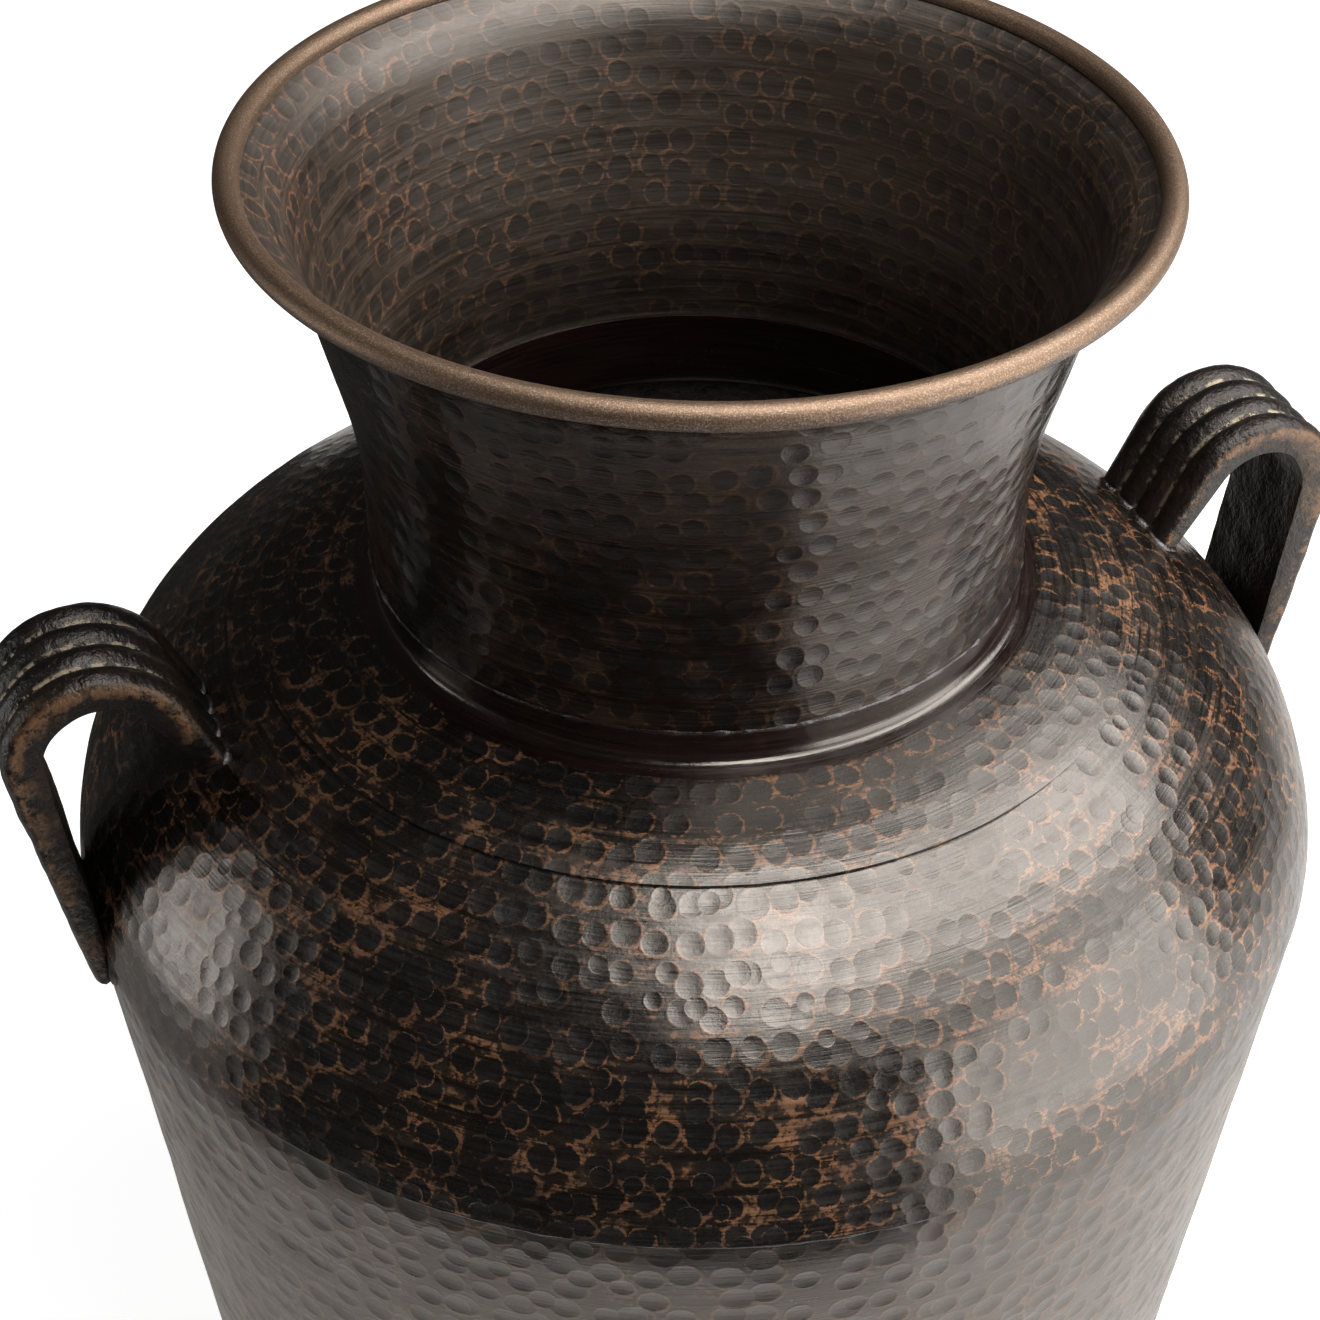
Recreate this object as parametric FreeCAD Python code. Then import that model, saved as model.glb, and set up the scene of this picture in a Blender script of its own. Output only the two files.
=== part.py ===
import FreeCAD, Part
import math
import os

# Hammered two-handled urn: a sheet metal body in two halves, a shoulder cap with a collar,
# a flared neck with a wired rim, a soldered base and two ribbed strap handles.
# Millimetres and degrees. The origin is the middle of the base and +Z is up.
# The handles stand on the +X and -X sides.

# Sheet and joints
sheet = 1.2
lap_gap = 0.1

# Body, measured on the outside of the lower half
girth_radius = 179.6
girth_height = 245.0
shoulder_radius = 71.2
crown_radius = 122.7
crown_turn = 41.0
wall_taper = 5.2
base_corner_radius = 55.0
base_flange_width = 16.0
girth_seam_rise = 7.0
girth_lap = 12.0

# Base plate, pushed up in the middle so that the vase stands on its edge
base_plate_margin = 2.5
base_dome_rise = 5.0
base_solder_leg = 2.0

# Shoulder cap and its collar. The cap ends part of the way from the collar to the girth.
collar_radius = 89.3
collar_height = 24.0
root_fillet_radius = 3.0
cap_edge_share = 0.392
cap_lap = 10.0

# Neck and rim
neck_height = 126.7
neck_foot_rise = 11.0
neck_waist_rise = 48.0
neck_bend_radius = 150.0
mouth_radius = 118.0
lip_radius = 24.0
lip_angle = 60.0
bead_radius = 3.4
bead_sheet = 0.7
bead_slot_gap = 0.25

# Handles. The upper foot stands part of the way from the cap's edge to the girth.
strap_width = 38.0
rib_count = 4
rib_rise = 2.2
handle_arch_radius = 15.3
handle_arch_inset = 8.0
handle_arch_rise = 75.0
crown_thickness = 10.6
upper_foot_thickness = 7.6
lower_foot_thickness = 4.2
upper_foot_share = 0.379
lower_foot_drop = 4.0
lower_foot_sink = 2.0

# Weld and braze beads
weld_leg = 1.9
weld_rise = 1.5
girth_weld_leg = 1.6
neck_braze_leg = 1.8
bead_crest_shares = (0.6, 0.7)
solder_low_share = 0.25

# One overrun serves every cut
overrun = 2.0

os.makedirs("parts", exist_ok=True)

Z_AXIS = FreeCAD.Vector(0, 0, 1)
ORIGIN = FreeCAD.Vector(0, 0, 0)


def vec(r, z):
    return FreeCAD.Vector(r, 0, z)


def sin(angle):
    return math.sin(math.radians(angle))


def cos(angle):
    return math.cos(math.radians(angle))


# A profile is a chain of bends. Each bend has a centre, a signed radius (negative where the
# surface curves the other way) and the two directions of the outward normal at its ends, as
# angles from +Z towards the outside. Straight stretches join one bend to the next.
def bend(centre, radius, start, end):
    return {"centre": centre, "radius": radius, "start": start, "end": end}


def end_point(r, z, normal):
    return bend((r, z), 0.0, normal, normal)


def on_bend(part, angle, offset):
    reach = part["radius"] + offset
    return vec(part["centre"][0] + reach * sin(angle), part["centre"][1] + reach * cos(angle))


def chain_edges(chain, offset):
    edges = []
    last = None
    for part in chain:
        first = on_bend(part, part["start"], offset)
        if last is not None and last.distanceToPoint(first) > Part.Precision.confusion():
            edges.append(Part.makeLine(last, first))
        last = on_bend(part, part["end"], offset)
        if part["start"] != part["end"]:
            middle = on_bend(part, (part["start"] + part["end"]) / 2, offset)
            edges.append(Part.Arc(first, middle, last).toShape())
    return edges


def closed_face(*edge_lists):
    edges = []
    for group in edge_lists:
        edges.extend(group)
    return Part.Face(Part.Wire(Part.__sortEdges__(edges)))


def revolve(face):
    return face.revolve(ORIGIN, Z_AXIS, 360)


def skin(chain, inner, outer):
    inside = chain_edges(chain, inner)
    outside = chain_edges(chain, outer)
    start = Part.makeLine(on_bend(chain[0], chain[0]["start"], inner),
                          on_bend(chain[0], chain[0]["start"], outer))
    end = Part.makeLine(on_bend(chain[-1], chain[-1]["end"], inner),
                        on_bend(chain[-1], chain[-1]["end"], outer))
    return revolve(closed_face(inside, outside, [start, end]))


# Body datum: crown bend, shoulder bend, tapered wall and base corner on one tangent line
shoulder_centre = (girth_radius - shoulder_radius, girth_height)
crown_centre = (
    shoulder_centre[0] + (shoulder_radius - crown_radius) * sin(crown_turn),
    shoulder_centre[1] + (shoulder_radius - crown_radius) * cos(crown_turn),
)
wall_normal = 90 + wall_taper
wall_top = (
    shoulder_centre[0] + shoulder_radius * sin(wall_normal),
    shoulder_centre[1] + shoulder_radius * cos(wall_normal),
)
corner_run = wall_top[1] - base_corner_radius - base_corner_radius * cos(wall_normal)
wall_run_in = corner_run * math.tan(math.radians(wall_taper))
base_corner_centre = (
    wall_top[0] - wall_run_in - base_corner_radius * sin(wall_normal),
    base_corner_radius,
)
base_opening_radius = base_corner_centre[0] - base_flange_width

cap_edge_radius = collar_radius + cap_edge_share * (girth_radius - collar_radius)

upper_skin = (lap_gap, lap_gap + sheet)
cap_skin = (upper_skin[1] + lap_gap, upper_skin[1] + lap_gap + sheet)

girth_seam_normal = math.degrees(math.acos(girth_seam_rise / shoulder_radius))
girth_lap_normal = math.degrees(math.acos((girth_seam_rise + girth_lap) / shoulder_radius))


def crown_normal(radius, offset):
    return math.degrees(math.asin((radius - crown_centre[0]) / (crown_radius + offset)))


# Heights of the neck, all counted from where the cap's surface meets the collar line
root_normal = crown_normal(collar_radius, cap_skin[1])
root_height = crown_centre[1] + (crown_radius + cap_skin[1]) * cos(root_normal)
rim_height = root_height + neck_height
bead_centre = (mouth_radius, rim_height - bead_radius)
wire_radius = bead_radius - bead_sheet - lap_gap


# Body halves

def lower_body_chain():
    return [
        bend(shoulder_centre, shoulder_radius, girth_lap_normal, wall_normal),
        bend(base_corner_centre, base_corner_radius, wall_normal, 180),
        end_point(base_opening_radius, 0, 180),
    ]


def upper_body_chain():
    hole_normal = crown_normal(cap_edge_radius - cap_lap, upper_skin[1])
    return [
        bend(crown_centre, crown_radius, hole_normal, crown_turn),
        bend(shoulder_centre, shoulder_radius, crown_turn, girth_seam_normal),
    ]


def girth_bead():
    """The girth weld's corners, in order from the one that it fills, and the normal at its low end."""
    shoulder = bend(shoulder_centre, shoulder_radius, 0, 0)
    leg_turn = math.degrees(girth_weld_leg / shoulder_radius)
    low_normal = girth_seam_normal + leg_turn
    corner = on_bend(shoulder, girth_seam_normal, lap_gap)
    low = on_bend(shoulder, low_normal, lap_gap)
    crest = on_bend(shoulder, girth_seam_normal + leg_turn * bead_crest_shares[0],
                    upper_skin[1] * bead_crest_shares[1])
    high = on_bend(shoulder, girth_seam_normal, upper_skin[1])
    return [corner, low, crest, high], low_normal


def make_girth_weld():
    corners, _ = girth_bead()
    return revolve(Part.Face(Part.makePolygon(corners + corners[:1])))


def make_seat():
    """The outside of the welded body as one solid, which the handles and their welds are cut to."""
    corners, low_normal = girth_bead()
    low, crest, high = corners[1:]
    above = upper_body_chain()
    below = lower_body_chain()
    below[0]["start"] = low_normal
    top = on_bend(above[0], above[0]["start"], upper_skin[1])
    bottom = on_bend(below[-1], below[-1]["end"], 0)
    surface = on_bend(below[0], below[0]["start"], 0)
    bead = Part.makePolygon([high, crest, low, surface]).Edges
    inside = Part.makePolygon([top, vec(0, top.z), vec(0, bottom.z), bottom]).Edges
    return revolve(closed_face(chain_edges(above, upper_skin[1]), bead, chain_edges(below, 0), inside))


# Base

def make_base_disc():
    edge_radius = base_corner_centre[0] - base_plate_margin
    flat_radius = base_opening_radius - base_plate_margin
    dome_radius = (flat_radius ** 2 + base_dome_rise ** 2) / (2 * base_dome_rise)
    dome_angle = math.degrees(math.asin(flat_radius / dome_radius))

    def plate_edges(level, offset):
        middle = bend((0, sheet + base_dome_rise - dome_radius), dome_radius, 0, dome_angle)
        turns = (0, dome_angle / 2, dome_angle)
        crown, half_way, rim = [on_bend(middle, turn, offset) for turn in turns]
        return [Part.Arc(crown, half_way, rim).toShape(), Part.makeLine(rim, vec(edge_radius, level))]

    low = plate_edges(sheet, 0)
    high = plate_edges(2 * sheet, sheet)
    axis_line = Part.makeLine(vec(0, sheet + base_dome_rise), vec(0, 2 * sheet + base_dome_rise))
    edge_line = Part.makeLine(vec(edge_radius, sheet), vec(edge_radius, 2 * sheet))
    return revolve(closed_face(low, high, [axis_line, edge_line]))


def make_base_solder():
    corner = vec(base_opening_radius, sheet)
    low = vec(base_opening_radius, sheet * solder_low_share)
    inner = vec(base_opening_radius - base_solder_leg, sheet)
    return revolve(Part.Face(Part.makePolygon([corner, low, inner, corner])))


# Shoulder cap: the crown's surface, a fillet and a collar that stands up inside the neck

def make_shoulder_cap():
    edge_normal = crown_normal(cap_edge_radius, cap_skin[1])
    fillet_centre_radius = collar_radius + root_fillet_radius
    fillet_normal = crown_normal(fillet_centre_radius, cap_skin[1] + root_fillet_radius)
    fillet_reach = crown_radius + cap_skin[1] + root_fillet_radius
    fillet_centre = (fillet_centre_radius, crown_centre[1] + fillet_reach * cos(fillet_normal))
    chain = [
        bend(crown_centre, crown_radius + cap_skin[1], edge_normal, fillet_normal),
        bend(fillet_centre, -root_fillet_radius, fillet_normal, 90),
        end_point(collar_radius, root_height + collar_height, 90),
    ]
    return skin(chain, -sheet, 0)


# Neck: a straight foot round the collar, a long bend, a straight flare and the curled lip

def line_to_circle(point, centre, radius, side):
    """The angle from +Z towards the outside of the line from a point that touches a circle."""
    across = centre[0] - point[0]
    up = centre[1] - point[1]
    to_centre = math.degrees(math.atan2(across, up))
    spread = math.degrees(math.asin(radius / math.hypot(across, up)))
    return to_centre + side * spread


def make_neck():
    foot_radius = collar_radius + lap_gap + sheet
    waist = (foot_radius, root_height + neck_waist_rise)
    edge_reach = wire_radius + lap_gap
    lip_centre = (
        bead_centre[0] - edge_reach * sin(lip_angle) + (lip_radius + sheet / 2) * cos(lip_angle),
        bead_centre[1] - edge_reach * cos(lip_angle) - (lip_radius + sheet / 2) * sin(lip_angle),
    )
    flare_angle = line_to_circle(waist, lip_centre, lip_radius, -1)
    bend_run = neck_bend_radius * math.tan(math.radians(flare_angle / 2))
    bend_centre = (foot_radius + neck_bend_radius, waist[1] - bend_run)
    chain = [
        end_point(foot_radius, root_height + neck_foot_rise, 90),
        bend(bend_centre, -neck_bend_radius, 90, 90 + flare_angle),
        bend(lip_centre, -lip_radius, 90 + flare_angle, 90 + lip_angle),
    ]
    return skin(chain, -sheet, 0)


def make_neck_braze():
    corner = vec(collar_radius, root_height + neck_foot_rise)
    reach = lap_gap + sheet
    high = corner + vec(reach, 0)
    low = corner - vec(0, neck_braze_leg)
    crest = corner + vec(reach * bead_crest_shares[1], -neck_braze_leg * bead_crest_shares[0])
    return revolve(Part.Face(Part.makePolygon([corner, high, crest, low, corner])))


# Rim: a wire inside a split tube, whose slot takes the edge of the neck's lip

def make_rim_bead():
    inner_radius = bead_radius - bead_sheet
    slot_turn = math.degrees(math.asin((sheet / 2 + bead_slot_gap) / inner_radius))
    slot = 180 + lip_angle

    def tube_point(radius, angle):
        return vec(bead_centre[0] + radius * sin(angle), bead_centre[1] + radius * cos(angle))

    def tube_arc(radius):
        ends = [tube_point(radius, slot + turn) for turn in (slot_turn, 180, 360 - slot_turn)]
        return Part.Arc(*ends).toShape(), ends[0], ends[2]

    outer, outer_start, outer_end = tube_arc(bead_radius)
    inner, inner_start, inner_end = tube_arc(inner_radius)
    return revolve(closed_face([outer, inner, Part.makeLine(outer_start, inner_start),
                                Part.makeLine(outer_end, inner_end)]))


def make_rim_wire():
    return Part.makeTorus(mouth_radius, wire_radius, vec(0, bead_centre[1]), Z_AXIS)


# Handles: a strap bent over an arch, flat inside and ribbed outside, on the +X side

handle_arch_centre = (girth_radius - handle_arch_inset, girth_height + handle_arch_rise)
upper_foot_radius = cap_edge_radius + upper_foot_share * (girth_radius - cap_edge_radius)
embed = upper_skin[1] + overrun


def strap_face(arch_radius, upper_point, lower_point):
    """One face of the strap: up from the shoulder, over the arch and down to the girth."""
    rise = line_to_circle(upper_point, handle_arch_centre, arch_radius, -1)
    fall = line_to_circle(lower_point, handle_arch_centre, arch_radius, 1)
    return [
        end_point(upper_point[0], upper_point[1], rise - 90),
        bend(handle_arch_centre, arch_radius, rise - 90, fall + 90),
        end_point(lower_point[0], lower_point[1], fall + 90),
    ]


def strap_faces(depth, tail):
    """The inner and outer face, carried into the body by a depth and past the low foot by a tail."""
    foot_normal = crown_normal(upper_foot_radius, upper_skin[1])
    foot_height = crown_centre[1] + (crown_radius + upper_skin[1]) * cos(foot_normal)
    inner_foot = (upper_foot_radius, foot_height)
    rise = line_to_circle(inner_foot, handle_arch_centre, handle_arch_radius, -1)
    outer_foot = (
        inner_foot[0] - upper_foot_thickness * cos(rise),
        inner_foot[1] + upper_foot_thickness * sin(rise),
    )
    low = girth_height - lower_foot_drop
    inner = strap_face(handle_arch_radius, inner_foot, (girth_radius - lower_foot_sink, low))
    outer = strap_face(handle_arch_radius + crown_thickness, outer_foot,
                       (girth_radius + lower_foot_thickness, low))
    for face in (inner, outer):
        for place, key, reach in ((0, "start", -depth), (-1, "end", tail)):
            along = face[place][key] + 90
            foot = face[place]["centre"]
            face[place]["centre"] = (foot[0] + reach * sin(along), foot[1] + reach * cos(along))
    return inner, outer


def strap_body(faces, width, inner_offset, outer_offset):
    inner, outer = faces
    ends = []
    for place, key in ((0, "start"), (-1, "end")):
        ends.append(Part.makeLine(on_bend(inner[place], inner[place][key], inner_offset),
                                  on_bend(outer[place], outer[place][key], outer_offset)))
    side = closed_face(chain_edges(inner, inner_offset), chain_edges(outer, outer_offset), ends)
    side.translate(FreeCAD.Vector(0, -width / 2, 0))
    return side.extrude(FreeCAD.Vector(0, width, 0))


def rib_layer(outer):
    """The ribs of the outer face: one scalloped section carried along the strap."""
    foot = outer[0]
    groove = on_bend(foot, foot["start"], -rib_rise)
    crest = on_bend(foot, foot["start"], 0) - groove
    pitch = strap_width / rib_count

    def across(step):
        return FreeCAD.Vector(0, step * pitch - strap_width / 2, 0)

    edges = []
    for rib in range(rib_count):
        edges.append(Part.Arc(groove + across(rib), groove + crest + across(rib + 0.5),
                              groove + across(rib + 1)).toShape())
    left = groove + across(0)
    right = groove + across(rib_count)
    bottom = [right, right - crest, left - crest, left]
    for first, second in zip(bottom, bottom[1:]):
        edges.append(Part.makeLine(first, second))
    path = Part.Wire(chain_edges(outer, -rib_rise))
    return path.makePipeShell([Part.Wire(edges)], True, False)


def largest_solid(shape):
    return max(shape.Solids, key=lambda solid: solid.Volume)


def make_handle(seat):
    faces = strap_faces(embed, 0)
    strap = strap_body(faces, strap_width, 0, -rib_rise).fuse(rib_layer(faces[1]))
    return largest_solid(strap.removeSplitter().cut(seat))


# Weld beads round the feet: a low layer on the body, inside the outline of a wider strap

def make_foot_weld(layer, handle, seat):
    wide = strap_body(strap_faces(embed, weld_leg), strap_width + 2 * weld_leg, -weld_leg, weld_leg)
    return largest_solid(wide.common(layer).cut(handle).cut(seat))


def half_turn(shape):
    turned = shape.copy()
    turned.rotate(ORIGIN, Z_AXIS, 180)
    return turned


seat = make_seat()
shoulder_layer = skin(upper_body_chain(), upper_skin[1], upper_skin[1] + weld_rise)
girth_layer = skin(lower_body_chain(), 0, weld_rise).fuse(shoulder_layer)
right_handle = make_handle(seat)
upper_half_space = Part.makeBox(
    2 * girth_radius, 2 * girth_radius, girth_radius,
    FreeCAD.Vector(0, -girth_radius, girth_height + handle_arch_rise / 2))
right_upper_weld = make_foot_weld(shoulder_layer.common(upper_half_space), right_handle, seat)
right_lower_weld = make_foot_weld(girth_layer.cut(upper_half_space), right_handle, seat)

nodes = {
    "lower_body": skin(lower_body_chain(), -sheet, 0),
    "upper_body": skin(upper_body_chain(), *upper_skin),
    "girth_weld": make_girth_weld(),
    "base_disc": make_base_disc(),
    "base_solder": make_base_solder(),
    "shoulder_cap": make_shoulder_cap(),
    "neck": make_neck(),
    "neck_braze": make_neck_braze(),
    "rim_bead": make_rim_bead(),
    "rim_wire": make_rim_wire(),
    "handle_right": right_handle,
    "handle_right_upper_weld": right_upper_weld,
    "handle_right_lower_weld": right_lower_weld,
    "handle_left": half_turn(right_handle),
    "handle_left_upper_weld": half_turn(right_upper_weld),
    "handle_left_lower_weld": half_turn(right_lower_weld),
}
for name, shape in nodes.items():
    shape.exportStep(f"parts/{name}.step")
    print(name, "valid" if shape.isValid() else "INVALID", len(shape.Solids), round(shape.Volume, 1))
print("height", round(rim_height, 2), "mouth", round(2 * (mouth_radius + bead_radius), 2),
      "body", round(2 * (girth_radius + upper_skin[1]), 2))
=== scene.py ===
import math

import bpy
import numpy as np
from bpy.props import FloatProperty, FloatVectorProperty, IntProperty, PointerProperty
from mathutils import Euler, Matrix, Vector, noise


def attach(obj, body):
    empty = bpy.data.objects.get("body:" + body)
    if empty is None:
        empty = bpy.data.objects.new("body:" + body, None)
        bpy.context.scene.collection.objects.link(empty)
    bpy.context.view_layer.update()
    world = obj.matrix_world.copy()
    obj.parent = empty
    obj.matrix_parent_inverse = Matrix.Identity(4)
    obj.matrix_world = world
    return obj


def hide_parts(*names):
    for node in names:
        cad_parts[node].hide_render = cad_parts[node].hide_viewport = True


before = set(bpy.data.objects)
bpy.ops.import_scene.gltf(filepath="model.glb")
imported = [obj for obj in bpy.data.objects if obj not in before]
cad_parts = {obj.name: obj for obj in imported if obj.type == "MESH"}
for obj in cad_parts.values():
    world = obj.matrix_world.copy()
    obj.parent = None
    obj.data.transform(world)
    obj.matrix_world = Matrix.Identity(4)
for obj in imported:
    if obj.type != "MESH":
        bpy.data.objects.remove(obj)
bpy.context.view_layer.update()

bl_info = {
    "name": "Hammered two-handled urn",
    "version": (1, 0, 0),
    "blender": (4, 5, 0),
    "location": "View3D > Sidebar > Urn",
    "description": "Dresses the packed urn: hammered shells, wired rim, cast handles and their welds",
    "category": "Object",
}

BODY = "root"

SMOOTH_BEND = math.radians(50)       # a sharper edge than this is kept sharp
DRIFT_SCALE, WAVE_SCALE = 18.0, 26.0  # clouds that bend the rows of marks and dish the sheet
FAR = 9.0                            # further from a mark than any point that it reaches
RAILS, BACK_RAILS = 65, 25           # lines along a strap's ribbed face and along its flat back
LEG, ARCH = 56, 60                   # stations along each straight leg and over the arch
CREASES = (66, 114)                  # the stations where the legs run into the arch
CROWN, CROWN_REACH = 88, 34.0        # the top of the arch, and how far its wear and its painted groove highlight run from it
BEAD_STEP = 0.0011                   # from ring to ring of a weld bead
SINK = -0.0003                       # how far a foot runs into the body
CASTING_SEED = 7
WARM_GLOSS = (1.0, 0.90, 0.81)       # the lacquer tints what it reflects
SPARKLE = (0.52, 0.40, 0.30)
HANDLES = (("handle_right", 1), ("handle_left", -1))


def length(name, description, default, **more):
    return FloatProperty(name=name, description=description, default=default, unit="LENGTH",
                         precision=5, **more)


def turn(name, description, default):
    return FloatProperty(name=name, description=description, default=math.radians(default),
                         subtype="ANGLE")


def share(name, description, default):
    return FloatProperty(name=name, description=description, default=default, subtype="FACTOR")


def colour(name, description, default):
    return FloatVectorProperty(name=name, description=description, default=default, size=3,
                               min=0, max=1, subtype="COLOR")


# Sizes, the same as those of the solids

class UrnBody(bpy.types.PropertyGroup):
    sheet: length("Sheet", "Thickness of the sheet metal", 0.0012)
    gap: length("Joint gap", "Clearance in a lap joint", 0.0001)
    girth_radius: length("Girth radius", "Widest radius of the lower half", 0.1796)
    girth_height: length("Girth height", "Height of the widest ring", 0.245)
    shoulder_radius: length("Shoulder bend", "Radius of the bend above the girth", 0.0712)
    crown_radius: length("Crown bend", "Radius of the flatter bend round the neck", 0.1227)
    crown_turn: turn("Crown turn", "Slope where the crown bend meets the shoulder bend", 41.0)
    wall_taper: turn("Wall taper", "How far the wall leans in towards the base", 5.2)
    corner_radius: length("Base corner", "Radius of the bend at the base", 0.055)
    flange_width: length("Base flange", "Width of the flat ring that the base sits on", 0.016)
    seam_rise: length("Seam rise", "Height of the girth seam above the girth", 0.007)
    girth_lap: length("Girth lap", "How far the lower half runs up inside the upper half", 0.012)
    collar_radius: length("Collar radius", "Outside radius of the collar", 0.0893)
    collar_height: length("Collar height", "Height of the collar inside the neck", 0.024)
    root_fillet: length("Root fillet", "Radius of the bend at the neck's root", 0.003)
    cap_share: share("Cap edge share", "Where the cap ends between the collar and the girth", 0.392)
    cap_lap: length("Cap lap", "How far the upper half runs in under the cap", 0.010)


class UrnNeck(bpy.types.PropertyGroup):
    height: length("Neck height", "From the root to the top of the rim", 0.1267)
    foot_rise: length("Foot rise", "Height of the neck's foot above the root", 0.011)
    waist_rise: length("Waist rise", "Height of the waist above the root", 0.048)
    bend_radius: length("Neck bend", "Radius of the bend from waist to flare", 0.150)
    mouth_radius: length("Mouth radius", "Radius of the rim's middle line", 0.118)
    lip_radius: length("Lip bend", "Radius of the outward curl under the rim", 0.024)
    lip_angle: turn("Lip angle", "Slope of the lip where it enters the rim", 60.0)
    bead_radius: length("Rim bead", "Radius of the rolled rim", 0.0034)
    bead_sheet: length("Rim sheet", "Thickness of the rim's sheet", 0.0007)
    lean_x: share("Lean along X", "Rise of the rim for each metre along X", -0.0123)
    lean_y: share("Lean along Y", "Rise of the rim for each metre along Y", 0.0063)


class UrnHandles(bpy.types.PropertyGroup):
    width: length("Strap width", "Width of the cast strap", 0.038)
    ribs: IntProperty(name="Ribs", description="Ribs along the strap's outside", default=4, min=1)
    rib_rise: length("Rib rise", "Height of a rib above its grooves", 0.0022)
    arch_radius: length("Arch radius", "Inside radius of the arch", 0.0153)
    arch_inset: length("Arch inset", "How far the arch stands inside the girth", 0.008)
    arch_rise: length("Arch rise", "Height of the arch's centre above the girth", 0.075)
    crown_thickness: length("Crown thickness", "Thickness over the arch", 0.0106)
    upper_thickness: length("Upper foot", "Thickness of the upper foot", 0.0076)
    lower_thickness: length("Lower foot", "Reach of the lower foot outside the girth", 0.0042)
    upper_share: share("Upper foot share", "Where it stands between the cap's edge and the girth", 0.379)
    lower_drop: length("Lower foot drop", "How far the lower foot ends below the girth", 0.004)
    lower_sink: length("Lower foot sink", "How far its inner face runs into the girth", 0.002)
    corner: length("Worn corner", "Rounding of the strap's edges", 0.0009)


class UrnFinish(bpy.types.PropertyGroup):
    patina: colour("Patina", "Dark chemical patina on the high metal", (0.0042, 0.0031, 0.0026))
    hollow: colour("Hollow", "Patina in the bottom of a hammer mark", (0.0047, 0.0047, 0.0051))
    lacquer: colour("Lacquered patina", "Brown-black outside of the neck", (0.0040, 0.0026, 0.0023))
    umber: colour("Umber", "Warmer patina in clouds and brush lines", (0.030, 0.0175, 0.0112))
    copper: colour("Copper", "Metal worn bare on the rims of the marks", (0.170, 0.068, 0.028))
    pale_copper: colour("Pale copper", "Where the bare metal is brightest", (0.250, 0.125, 0.062))
    lining: colour("Lining", "Brushed brown inside the neck", (0.054, 0.0335, 0.0200))
    maroon: colour("Maroon", "Lacquered collar", (0.0135, 0.0066, 0.0060))
    bronze: colour("Bronze", "Brushed rim", (0.190, 0.118, 0.074))
    # painted shade: the rim's colour on its downward-facing side
    bronze_painted_shade: colour("Bronze shade", "Rim where the patina stays", (0.060, 0.036, 0.024))
    iron: colour("Casting", "Dark cast handles", (0.0070, 0.0058, 0.0052))
    ochre: colour("Ochre", "Brown the handles are rubbed to at their edges", (0.110, 0.060, 0.027))
    # painted highlight: the colour of the bright lines in the handles' grooves
    rubbed: colour("Rubbed metal", "Bright metal in the grooves of the handles", (0.55, 0.45, 0.30))
    weld: colour("Weld", "Bright weld metal", (0.230, 0.150, 0.090))


class UrnStudio(bpy.types.PropertyGroup):
    eye: FloatVectorProperty(name="Camera place", description="Where the camera stands", size=3,
                             default=(-0.21442, -0.54982, 0.76373), subtype="TRANSLATION", unit="LENGTH")
    aim: FloatVectorProperty(name="Camera turn", description="How the camera is turned", size=3,
                             default=[math.radians(a) for a in (51.3748, -0.1188, -20.2574)],
                             subtype="EULER")
    lens: FloatProperty(name="Lens", description="Focal length in millimetres", default=71.142,
                        unit="CAMERA")
    floor_size: length("Floor", "Side of the floor", 12.0)


SETTINGS = {"urn_body": UrnBody, "urn_neck": UrnNeck, "urn_handles": UrnHandles,
            "urn_finish": UrnFinish, "urn_studio": UrnStudio}


# Profiles: a chain of bends with a centre, a signed radius and two normals from +Z outwards

def walk(chain, offset, step):
    """Points of a chain at an offset from it, about a step apart."""
    points = []
    for centre, radius, start, end in chain:
        reach = radius + offset
        count = max(1, math.ceil(abs(end - start) * abs(reach) / step))
        angles = np.linspace(start, end, count + 1) if start != end else np.array([start])
        arc = np.array(centre) + reach * np.stack([np.sin(angles), np.cos(angles)], 1)
        if points:
            last = points[-1]
            pieces = math.ceil(np.hypot(*(arc[0] - last)) / step - 0.01)
            points.extend([last + (arc[0] - last) * part / pieces for part in range(1, pieces)])
            if pieces < 1:
                arc = arc[1:]
        points.extend(arc)
    return np.array(points)


def run_length(points):
    """How far along a line each of its points is."""
    steps = np.linalg.norm(np.diff(points, axis=0), axis=1)
    return np.concatenate([[0.0], np.cumsum(steps)])


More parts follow.
